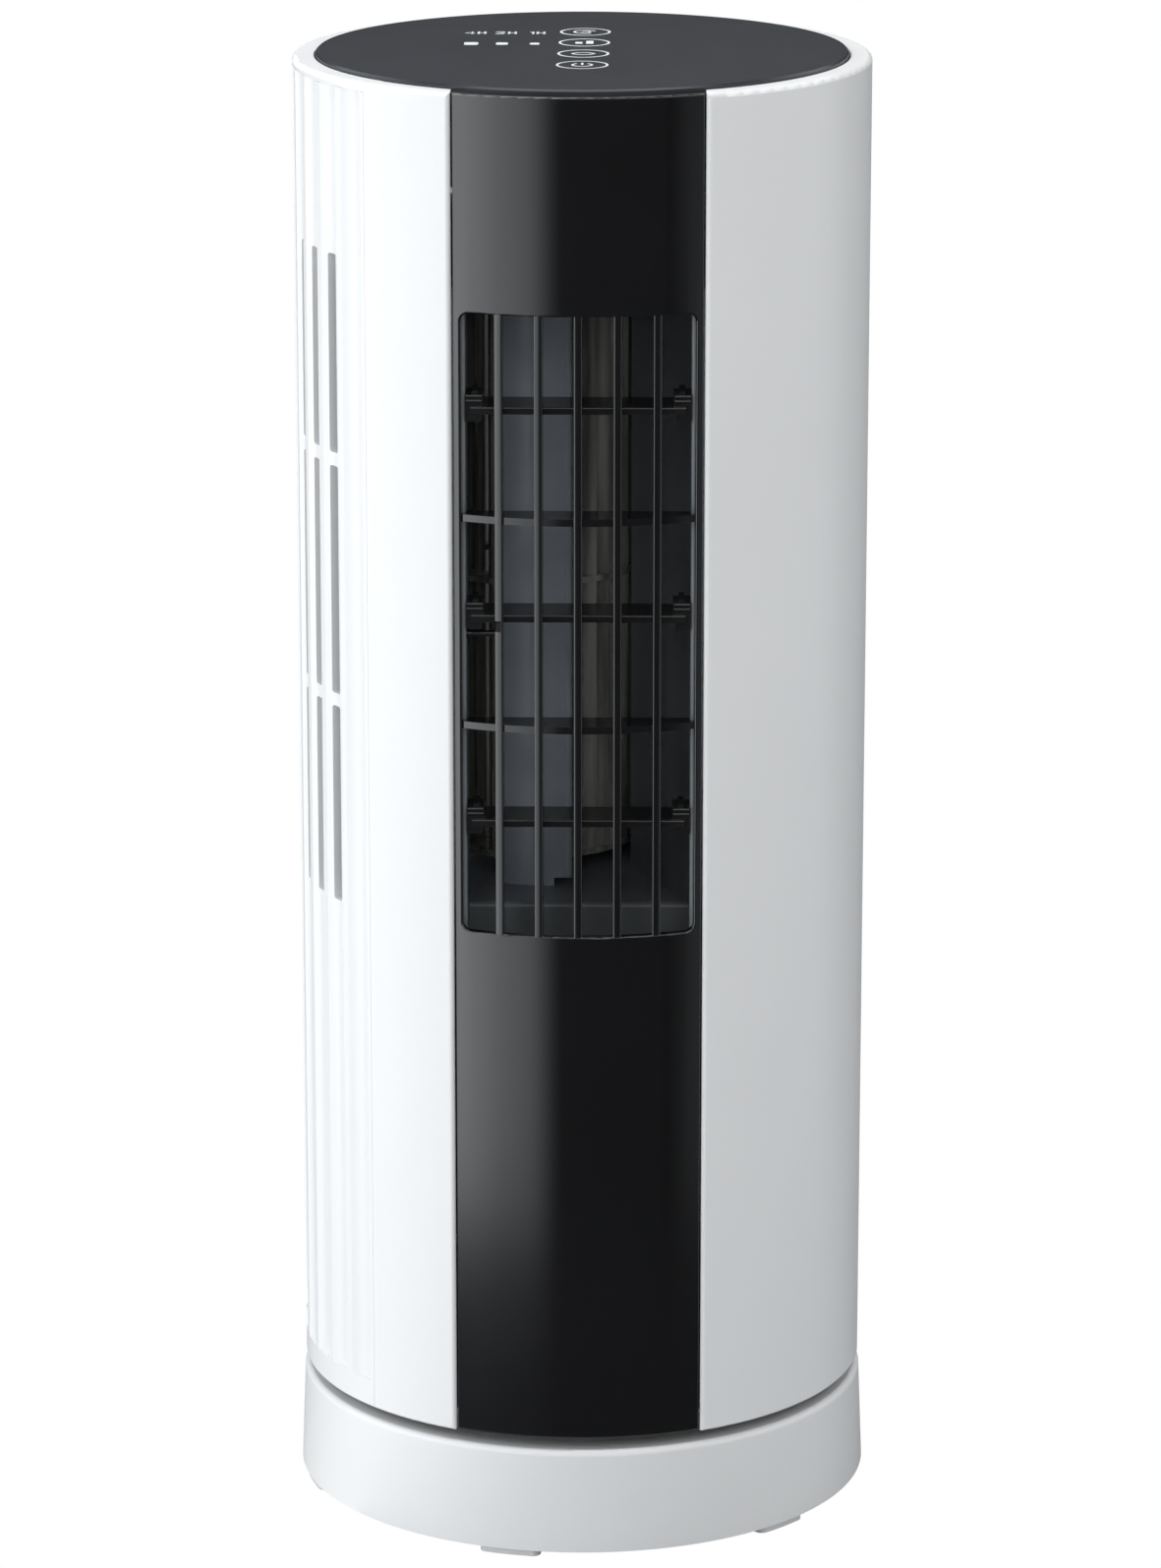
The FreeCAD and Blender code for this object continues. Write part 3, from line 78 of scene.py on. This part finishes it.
# Bearings are in degrees from the front of the fan, positive to its right. A fade is a list of
# (bearing, level) pairs.
CARD_RADIUS = 1.5
CARD_STEPS = 24
KEY_FADE = ((-7.0, 0.0), (-11.5, 0.1), (-16.0, 0.28), (-20.0, 0.42), (-33.0, 0.6), (-52.0, 1.0))
SIDE_FADE = ((34.0, 0.0), (46.0, 0.2), (80.0, 1.0))
FADE_TINT = (0.95, 0.98, 1.0)

# Name, first and last bearing, lower and upper edge in metres, strength, colour, fade.
CARDS = (
    ("key", -110.0, -7.0, -0.4, 1.4, 2.15, WHITE, KEY_FADE),
    ("front", -24.0, 75.0, 0.45, 1.9, 1.0, WHITE, None),
    ("side", 34.0, 118.0, -0.4, 1.4, 0.85, WHITE, SIDE_FADE),
    ("back", 120.0, 248.0, 1.0, 2.2, 1.3, COOL, None),
    ("low_back", 120.0, 248.0, 0.0, 0.98, 0.06, COOL, None),
)
TOP_STRENGTH = 2.5
TOP_HALF = 0.7
TOP_HEIGHT = 1.7
BOUNCE_STRENGTH = 0.95
BOUNCE_HALF = 0.5
BOUNCE_HEIGHT = 0.0005
BOUNCE_X = -0.56
BOUNCE_Y = -0.5

FLOOR_HALF = 20.0
PAPER_DARK = (0.48, 0.49, 0.50, 1.0)
PAPER_LIGHT = (0.52, 0.53, 0.54, 1.0)
FILL_STRENGTH = 0.34
MIRRORED_STRENGTH = 0.045


def bearing_fade(nodes, links, fade):
    """Faintly cool level that follows the fade's pairs round the fan."""
    place = nodes.new("ShaderNodeTexCoord")
    split = nodes.new("ShaderNodeSeparateXYZ")
    flip = nodes.new("ShaderNodeMath")
    flip.operation = "MULTIPLY"
    flip.inputs[1].default_value = -1.0
    turn = nodes.new("ShaderNodeMath")
    turn.operation = "ARCTAN2"
    scale = nodes.new("ShaderNodeMapRange")
    scale.inputs["From Min"].default_value = math.radians(fade[0][0])
    scale.inputs["From Max"].default_value = math.radians(fade[-1][0])
    ramp = nodes.new("ShaderNodeValToRGB")
    stops = ramp.color_ramp.elements
    while len(stops) < len(fade):
        stops.new(0.5)
    span = fade[-1][0] - fade[0][0]
    for stop, (bearing, level) in zip(stops, fade):
        stop.position = (bearing - fade[0][0]) / span
        stop.color = (*(level * tint for tint in FADE_TINT), 1.0)
    links.new(place.outputs["Object"], split.inputs[0])
    links.new(split.outputs["Y"], flip.inputs[0])
    links.new(split.outputs["X"], turn.inputs[0])
    links.new(flip.outputs[0], turn.inputs[1])
    links.new(turn.outputs[0], scale.inputs["Value"])
    links.new(scale.outputs["Result"], ramp.inputs["Fac"])
    return ramp.outputs["Color"]


def glow_material(name, strength, color=WHITE, fade=None):
    """An even glow, or one whose colour and level follow the fade."""
    material = bpy.data.materials.new(name)
    material.use_nodes = True
    nodes = material.node_tree.nodes
    links = material.node_tree.links
    nodes.clear()
    output = nodes.new("ShaderNodeOutputMaterial")
    glow = nodes.new("ShaderNodeEmission")
    glow.inputs["Color"].default_value = color
    glow.inputs["Strength"].default_value = strength
    links.new(glow.outputs[0], output.inputs["Surface"])
    if fade:
        links.new(bearing_fade(nodes, links, fade), glow.inputs["Color"])
    return material


def stage_object(name, mesh, material):
    """Adds a mesh that belongs to the studio and not to the fan."""
    data = bpy.data.meshes.new(name)
    mesh.to_mesh(data)
    mesh.free()
    data.materials.append(material)
    obj = bpy.data.objects.new(name, data)
    bpy.context.scene.collection.objects.link(obj)
    return obj


def curved_card(name, start, end, low, high, material):
    """An upright card bent round the fan between two bearings."""
    mesh = bmesh.new()
    columns = []
    for index in range(CARD_STEPS + 1):
        bearing = math.radians(start + (end - start) * index / CARD_STEPS)
        x = CARD_RADIUS * math.sin(bearing)
        y = -CARD_RADIUS * math.cos(bearing)
        columns.append((mesh.verts.new((x, y, low)), mesh.verts.new((x, y, high))))
    for left, right in zip(columns, columns[1:]):
        mesh.faces.new((left[0], right[0], right[1], left[1]))
    return stage_object(name, mesh, material)


def flat_quad(half, z, x=0.0, y=0.0):
    """A level square round a point."""
    mesh = bmesh.new()
    signs = ((-1, -1), (1, -1), (1, 1), (-1, 1))
    corners = [(x + side * half, y + end * half, z) for side, end in signs]
    mesh.faces.new([mesh.verts.new(corner) for corner in corners])
    return mesh


def make_floor():
    """A large floor: pale paper that lights the fan from below, and even white to the camera."""
    material = bpy.data.materials.new("floor_paper")
    material.use_nodes = True
    nodes = material.node_tree.nodes
    links = material.node_tree.links
    paper = nodes["Principled BSDF"]
    paper.inputs["Roughness"].default_value = 0.9
    paper.inputs["Specular IOR Level"].default_value = 0.1
    place = nodes.new("ShaderNodeTexCoord")
    noise = nodes.new("ShaderNodeTexNoise")
    noise.inputs["Scale"].default_value = 3.0
    ramp = nodes.new("ShaderNodeValToRGB")
    ramp.color_ramp.elements[0].color = PAPER_DARK
    ramp.color_ramp.elements[1].color = PAPER_LIGHT
    links.new(place.outputs["Object"], noise.inputs["Vector"])
    links.new(noise.outputs["Fac"], ramp.inputs["Fac"])
    links.new(ramp.outputs["Color"], paper.inputs["Base Color"])
    white = nodes.new("ShaderNodeEmission")
    white.inputs["Color"].default_value = WHITE
    white.inputs["Strength"].default_value = 1.0
    path = nodes.new("ShaderNodeLightPath")
    mix = nodes.new("ShaderNodeMixShader")
    links.new(path.outputs["Is Camera Ray"], mix.inputs[0])
    links.new(paper.outputs[0], mix.inputs[1])
    links.new(white.outputs[0], mix.inputs[2])
    links.new(mix.outputs[0], nodes["Material Output"].inputs["Surface"])
    floor = stage_object("floor", flat_quad(FLOOR_HALF, 0.0), material)
    floor.visible_glossy = False


def make_world():
    """White to the camera, dark in reflections, a soft cool fill for everything else."""
    world = bpy.data.worlds.new("studio")
    bpy.context.scene.world = world
    world.use_nodes = True
    nodes = world.node_tree.nodes
    links = world.node_tree.links
    nodes.clear()
    output = nodes.new("ShaderNodeOutputWorld")
    path = nodes.new("ShaderNodeLightPath")
    grounds = []
    for color, strength in ((COOL, FILL_STRENGTH), (COOL, MIRRORED_STRENGTH), (WHITE, 1.0)):
        ground = nodes.new("ShaderNodeBackground")
        ground.inputs["Color"].default_value = color
        ground.inputs["Strength"].default_value = strength
        grounds.append(ground)
    fill, mirrored, seen = grounds
    first = nodes.new("ShaderNodeMixShader")
    second = nodes.new("ShaderNodeMixShader")
    links.new(path.outputs["Is Glossy Ray"], first.inputs[0])
    links.new(fill.outputs[0], first.inputs[1])
    links.new(mirrored.outputs[0], first.inputs[2])
    links.new(path.outputs["Is Camera Ray"], second.inputs[0])
    links.new(first.outputs[0], second.inputs[1])
    links.new(seen.outputs[0], second.inputs[2])
    links.new(second.outputs[0], output.inputs["Surface"])


def make_lights():
    """Soft cards round and over the fan, and one on the floor in front, at its left."""
    cards = []
    for name, start, end, low, high, strength, color, fade in CARDS:
        glow = glow_material(name + "_glow", strength, color, fade)
        cards.append(curved_card(name + "_card", start, end, low, high, glow))
    top = glow_material("top_glow", TOP_STRENGTH)
    cards.append(stage_object("top_card", flat_quad(TOP_HALF, TOP_HEIGHT), top))
    bounce = glow_material("bounce_glow", BOUNCE_STRENGTH)
    quad = flat_quad(BOUNCE_HALF, BOUNCE_HEIGHT, BOUNCE_X, BOUNCE_Y)
    bounce_card = stage_object("bounce_card", quad, bounce)
    bounce_card.visible_glossy = False
    cards.append(bounce_card)
    for card in cards:
        card.visible_camera = False


# ---- Materials ----------------------------------------------------------------------

# A noise is read between these two values, where nearly all of it lies.
NOISE_LOW = 0.3
NOISE_HIGH = 0.7
CLOUD_SCALE = 22.0
GLOSS_SCALE = 60.0
GLOSS_SPREAD = 0.05
GRAIN_DEPTH = 0.0002


def add_noise(nodes, links, place, scale, detail=4.0):
    """Noise fixed to the piece, so it moves along with it."""
    noise = nodes.new("ShaderNodeTexNoise")
    noise.inputs["Scale"].default_value = scale
    noise.inputs["Detail"].default_value = detail
    links.new(place, noise.inputs["Vector"])
    return noise.outputs["Fac"]


def shades(nodes, links, factor, dark, light):
    """Colour between two shades, picked by a noise."""
    ramp = nodes.new("ShaderNodeValToRGB")
    ramp.color_ramp.elements[0].position = NOISE_LOW
    ramp.color_ramp.elements[1].position = NOISE_HIGH
    ramp.color_ramp.elements[0].color = (*dark, 1.0)
    ramp.color_ramp.elements[1].color = (*light, 1.0)
    links.new(factor, ramp.inputs["Fac"])
    return ramp.outputs["Color"]


def spread(nodes, links, factor, low, high):
    """Value between two levels, picked by a noise."""
    ramp = nodes.new("ShaderNodeMapRange")
    ramp.inputs["From Min"].default_value = NOISE_LOW
    ramp.inputs["From Max"].default_value = NOISE_HIGH
    ramp.inputs["To Min"].default_value = low
    ramp.inputs["To Max"].default_value = high
    links.new(factor, ramp.inputs["Value"])
    return ramp.outputs["Result"]


def moulded(name, dark, light, rough, grain=1800.0, depth=0.02, specular=0.5, stretch=None):
    """A surface with faint clouding between two shades, a fine grain and uneven gloss.

    grain is the scale of the grain's noise and depth its strength as bump. stretch scales the
    noise along X, Y and Z, for streaks."""
    material = bpy.data.materials.new(name)
    material.use_nodes = True
    nodes = material.node_tree.nodes
    links = material.node_tree.links
    surface = nodes["Principled BSDF"]
    place = nodes.new("ShaderNodeTexCoord").outputs["Object"]
    if stretch:
        mapping = nodes.new("ShaderNodeMapping")
        mapping.inputs["Scale"].default_value = stretch
        links.new(place, mapping.inputs["Vector"])
        place = mapping.outputs["Vector"]
    cloud = add_noise(nodes, links, place, CLOUD_SCALE)
    links.new(shades(nodes, links, cloud, dark, light), surface.inputs["Base Color"])
    patches = add_noise(nodes, links, place, GLOSS_SCALE)
    gloss = spread(nodes, links, patches, rough * (1 - GLOSS_SPREAD), rough * (1 + GLOSS_SPREAD))
    links.new(gloss, surface.inputs["Roughness"])
    bump = nodes.new("ShaderNodeBump")
    bump.inputs["Strength"].default_value = depth
    bump.inputs["Distance"].default_value = GRAIN_DEPTH
    links.new(add_noise(nodes, links, place, grain, 2.0), bump.inputs["Height"])
    links.new(bump.outputs["Normal"], surface.inputs["Normal"])
    surface.inputs["Specular IOR Level"].default_value = specular
    return material


def metal(name, dark, light, rough, stretch=(1.0, 1.0, 1.0), grain=700.0):
    """The same surface in metal. stretch turns its clouds into marks of drawing or turning."""
    material = moulded(name, dark, light, rough, grain, 0.12, 0.5, stretch)
    material.node_tree.nodes["Principled BSDF"].inputs["Metallic"].default_value = 1.0
    return material


def make_materials():
    """One material for each slot of the record; the two white mouldings share theirs."""
    white = moulded("white_plastic", (0.86, 0.865, 0.87), (0.875, 0.88, 0.885), 0.34)
    return {
        "shell_white": white,
        "cover_white": white,
        "base_white": moulded("base_plastic", (0.83, 0.835, 0.84), (0.85, 0.855, 0.86), 0.36),
        "plate_white": moulded(
            "plate_plastic", (0.74, 0.74, 0.75), (0.78, 0.78, 0.79),
            0.55, 900.0, 0.2,
        ),
        "strip_black": moulded(
            "piano_black", (0.0055, 0.0055, 0.006), (0.007, 0.007, 0.008),
            0.12, 900.0, 0.003, 1.0,
        ),
        "panel_slate": moulded(
            "panel_film", (0.029, 0.032, 0.039), (0.031, 0.034, 0.041),
            0.24, 2600.0, 0.004, 0.45,
        ),
        "grille_black": moulded(
            "grille_plastic", (0.01, 0.01, 0.011), (0.014, 0.014, 0.015),
            0.2, 1200.0, 0.03, 0.8,
        ),
        # Painted light: the duct walls are toned far lighter than their own dark plastic, standing
        # in for light inside the outlet.
        "duct_dark": moulded(
            "duct_plastic_painted_light", (0.23, 0.255, 0.275), (0.28, 0.305, 0.325),
            0.3, 1100.0, 0.08,
        ),
        # Painted light: much lighter and bluer than the divider's own dark plastic, a lit copy of
        # it.
        "divider_grey": moulded(
            "divider_plastic_painted_light", (0.42, 0.47, 0.53), (0.52, 0.57, 0.63),
            0.26, 1500.0, 0.12,
        ),
        # Painted light: the blades are toned lighter than their own warm grey, and the light end of
        # the streaks paints blade highlights.
        "wheel_grey": moulded(
            "wheel_plastic_painted_highlights", (0.12, 0.117, 0.108), (0.62, 0.61, 0.57),
            0.24, 900.0, 0.05, 0.8, (9.0, 9.0, 0.6),
        ),
        "hub_brass": metal("turned_brass", (0.62, 0.45, 0.2), (0.72, 0.54, 0.26), 0.3, (1, 1, 12)),
        "bush_bronze": metal("sintered_bronze", (0.42, 0.28, 0.14), (0.52, 0.36, 0.2), 0.5),
        "screw_steel": metal("screw_plating", (0.5, 0.5, 0.52), (0.62, 0.62, 0.64), 0.33),
        "shaft_steel": metal("ground_steel", (0.58, 0.58, 0.6), (0.7, 0.7, 0.72), 0.22, (1, 1, 8)),
        "retainer_steel": metal("stamped_steel", (0.5, 0.5, 0.51), (0.6, 0.6, 0.61), 0.36),
        "motor_zinc": metal("drawn_can", (0.46, 0.47, 0.49), (0.58, 0.59, 0.61), 0.34, (1, 1, 0.2)),
        "laminations": metal(
            "laminated_steel", (0.2, 0.18, 0.16), (0.3, 0.27, 0.24),
            0.5, (0.1, 0.1, 9),
        ),
        "magnet_dark": moulded(
            "ferrite", (0.04, 0.04, 0.042), (0.06, 0.06, 0.062),
            0.55, 800.0, 0.2,
        ),
        "mount_black": moulded(
            "frame_plastic", (0.025, 0.025, 0.027), (0.036, 0.036, 0.038),
            0.48, 900.0, 0.15,
        ),
        "seal_rubber": moulded(
            "black_rubber", (0.014, 0.014, 0.014), (0.022, 0.022, 0.022),
            0.7, 1200.0, 0.2,
        ),
        "foot_rubber": moulded(
            "foot_rubber", (0.72, 0.72, 0.72), (0.78, 0.78, 0.78),
            0.7, 1500.0, 0.2,
        ),
        "gear_acetal": moulded("acetal", (0.72, 0.7, 0.64), (0.78, 0.76, 0.7), 0.4, 900.0, 0.08),
        "board_green": moulded(
            "solder_mask", (0.012, 0.09, 0.035), (0.02, 0.12, 0.05),
            0.3, 500.0, 0.1,
        ),
        "part_dark": moulded(
            "part_resin", (0.03, 0.03, 0.034), (0.05, 0.05, 0.055),
            0.5, 900.0, 0.15,
        ),
        "loom_grey": moulded(
            "loom_sleeve", (0.1, 0.1, 0.105), (0.15, 0.15, 0.155),
            0.6, 600.0, 0.4,
        ),
        "spring_tin": metal("tinned_wire", (0.6, 0.58, 0.53), (0.7, 0.68, 0.62), 0.35),
        "print_white": moulded(
            "screen_print", (0.82, 0.83, 0.84), (0.9, 0.91, 0.92),
            0.45, 1500.0, 0.1,
        ),
        "guide_clear": moulded(
            "milky_guide", (0.8, 0.81, 0.83), (0.86, 0.87, 0.89),
            0.3, 900.0, 0.04,
        ),
    }


def dress_nodes(materials):
    """Gives every CAD node the material of its slot in the record."""
    for entry in frame["record"]["subparts"]:
        obj = frame["nodes"][entry["node"]]
        for slot in obj.material_slots:
            slot.material = materials[entry["material_slot"]]


# ---- Printing on the touch panel ----------------------------------------------------

# Millimetres, as seen from above with the front at the bottom.
PRINT_TOP = 386.87
PRINT_LOW = 386.845
LINE = 0.6
KEY_X = 0.4
KEY_RADIUS = 6.4
POWER_Y = -27.0
NIGHT_Y = -7.6
SPEED_Y = 11.8
SWING_Y = 31.0
LAMP_Y = 9.5
HOUR_LOW = 27.0
HOUR_HIGH = 31.0
H_WIDTH = 1.7


def arc_points(x, y, radius, start, end, steps=40):
    """Points along an arc, its ends in degrees."""
    points = []
    for index in range(steps + 1):
        angle = math.radians(start + (end - start) * index / steps)
        points.append((x + radius * math.cos(angle), y + radius * math.sin(angle)))
    return points


def offset_side(points, reach):
    """The line shifted to its left by that many millimetres."""
    shifted = []
    last = len(points) - 1
    for index, (x, y) in enumerate(points):
        before = points[max(index - 1, 0)]
        after = points[min(index + 1, last)]
        if index in (0, last) and math.dist(points[0], points[last]) < 0.001:
            before = points[last - 1]
            after = points[1]
        run_x = after[0] - before[0]
        run_y = after[1] - before[1]
        length = math.hypot(run_x, run_y)
        shifted.append((x - run_y / length * reach, y + run_x / length * reach))
    return shifted


def print_line(mesh, points, width=LINE):
    """A raised line of ink along the points."""
    left = offset_side(points, width / 2)
    right = offset_side(points, -width / 2)
    rows = []
    for (ax, ay), (bx, by) in zip(left, right):
        rows.append([
            mesh.verts.new((ax * MM, ay * MM, PRINT_LOW * MM)),
            mesh.verts.new((ax * MM, ay * MM, PRINT_TOP * MM)),
            mesh.verts.new((bx * MM, by * MM, PRINT_TOP * MM)),
            mesh.verts.new((bx * MM, by * MM, PRINT_LOW * MM)),
        ])
    for one, two in zip(rows, rows[1:]):
        for corner in range(4):
            follow = (corner + 1) % 4
            mesh.faces.new((one[corner], two[corner], two[follow], one[follow]))
    mesh.faces.new(list(reversed(rows[0])))
    mesh.faces.new(rows[-1])


def print_patch(mesh, x, y, width, depth, corner):
    """A filled rounded rectangle of ink."""
    outline = []
    for turn, sign_x, sign_y in ((0, 1, 1), (90, -1, 1), (180, -1, -1), (270, 1, -1)):
        centre_x = x + sign_x * (width / 2 - corner)
        centre_y = y + sign_y * (depth / 2 - corner)
        outline += arc_points(centre_x, centre_y, corner, turn, turn + 90, 6)
    top = [mesh.verts.new((px * MM, py * MM, PRINT_TOP * MM)) for px, py in outline]
    low = [mesh.verts.new((px * MM, py * MM, PRINT_LOW * MM)) for px, py in outline]
    mesh.faces.new(top)
    mesh.faces.new(list(reversed(low)))
    for index in range(len(top)):
        follow = (index + 1) % len(top)
        mesh.faces.new((low[index], low[follow], top[follow], top[index]))


def key_rings(mesh):
    for y in (POWER_Y, NIGHT_Y, SPEED_Y, SWING_Y):
        print_line(mesh, arc_points(KEY_X, y, KEY_RADIUS, 0, 360, 64))


def key_signs(mesh):
    """Generic signs: power, night light, speed steps and swing."""
    print_line(mesh, arc_points(KEY_X, POWER_Y, 2.5, -235, 55))
    print_line(mesh, [(KEY_X, POWER_Y + 0.1), (KEY_X, POWER_Y + 3.2)])
    print_line(mesh, arc_points(KEY_X, NIGHT_Y - 1.4, 3.2, 25, 155, 24))
    print_line(mesh, arc_points(KEY_X, NIGHT_Y + 1.4, 3.2, 205, 335, 24))
    print_patch(mesh, KEY_X - 1.4, SPEED_Y - 0.6, 1.9, 3.0, 0.3)
    print_patch(mesh, KEY_X + 1.4, SPEED_Y + 0.4, 1.9, 5.0, 0.3)
    print_line(mesh, arc_points(KEY_X, SWING_Y, 2.9, 30, 300))
    print_line(mesh, arc_points(KEY_X, SWING_Y, 1.3, -150, 120, 24))


def timer_marks(mesh):
    """Three lamp windows, with the hours that each stands for: 4 H, 2 H and 1 H."""
    print_patch(mesh, -29.0, LAMP_Y, 3.7, 4.7, 0.9)
    print_patch(mesh, -21.0, LAMP_Y, 3.1, 4.0, 0.8)
    print_patch(mesh, -12.5, LAMP_Y, 2.5, 3.2, 0.7)
    print_line(mesh, [(-29.3, HOUR_LOW), (-29.3, HOUR_HIGH), (-31.0, 28.3), (-28.6, 28.3)])
    hook = arc_points(-21.9, 30.0, 1.0, 170, -30, 12)
    print_line(mesh, hook + [(-23.0, HOUR_LOW), (-20.8, HOUR_LOW)])
    print_line(mesh, [(-14.0, 30.4), (-13.3, HOUR_HIGH), (-13.3, HOUR_LOW)])
    middle = (HOUR_LOW + HOUR_HIGH) / 2
    for x in (-27.6, -19.6, -12.1):
        print_line(mesh, [(x, HOUR_LOW), (x, HOUR_HIGH)])
        print_line(mesh, [(x, middle), (x + H_WIDTH, middle)])
        print_line(mesh, [(x + H_WIDTH, HOUR_LOW), (x + H_WIDTH, HOUR_HIGH)])


def print_panel(materials):
    """All the printing, as one piece that rides the tower."""
    mesh = bmesh.new()
    key_rings(mesh)
    key_signs(mesh)
    timer_marks(mesh)
    data = bpy.data.meshes.new("panel_printing")
    mesh.to_mesh(data)
    mesh.free()
    data.materials.append(materials["print_white"])
    piece = bpy.data.objects.new("panel_printing", data)
    bpy.context.scene.collection.objects.link(piece)
    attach(piece, "tower")



bpy.context.scene.view_settings.view_transform = "Standard"
make_camera()
make_floor()
make_world()
make_lights()
materials = make_materials()
dress_nodes(materials)
print_panel(materials)
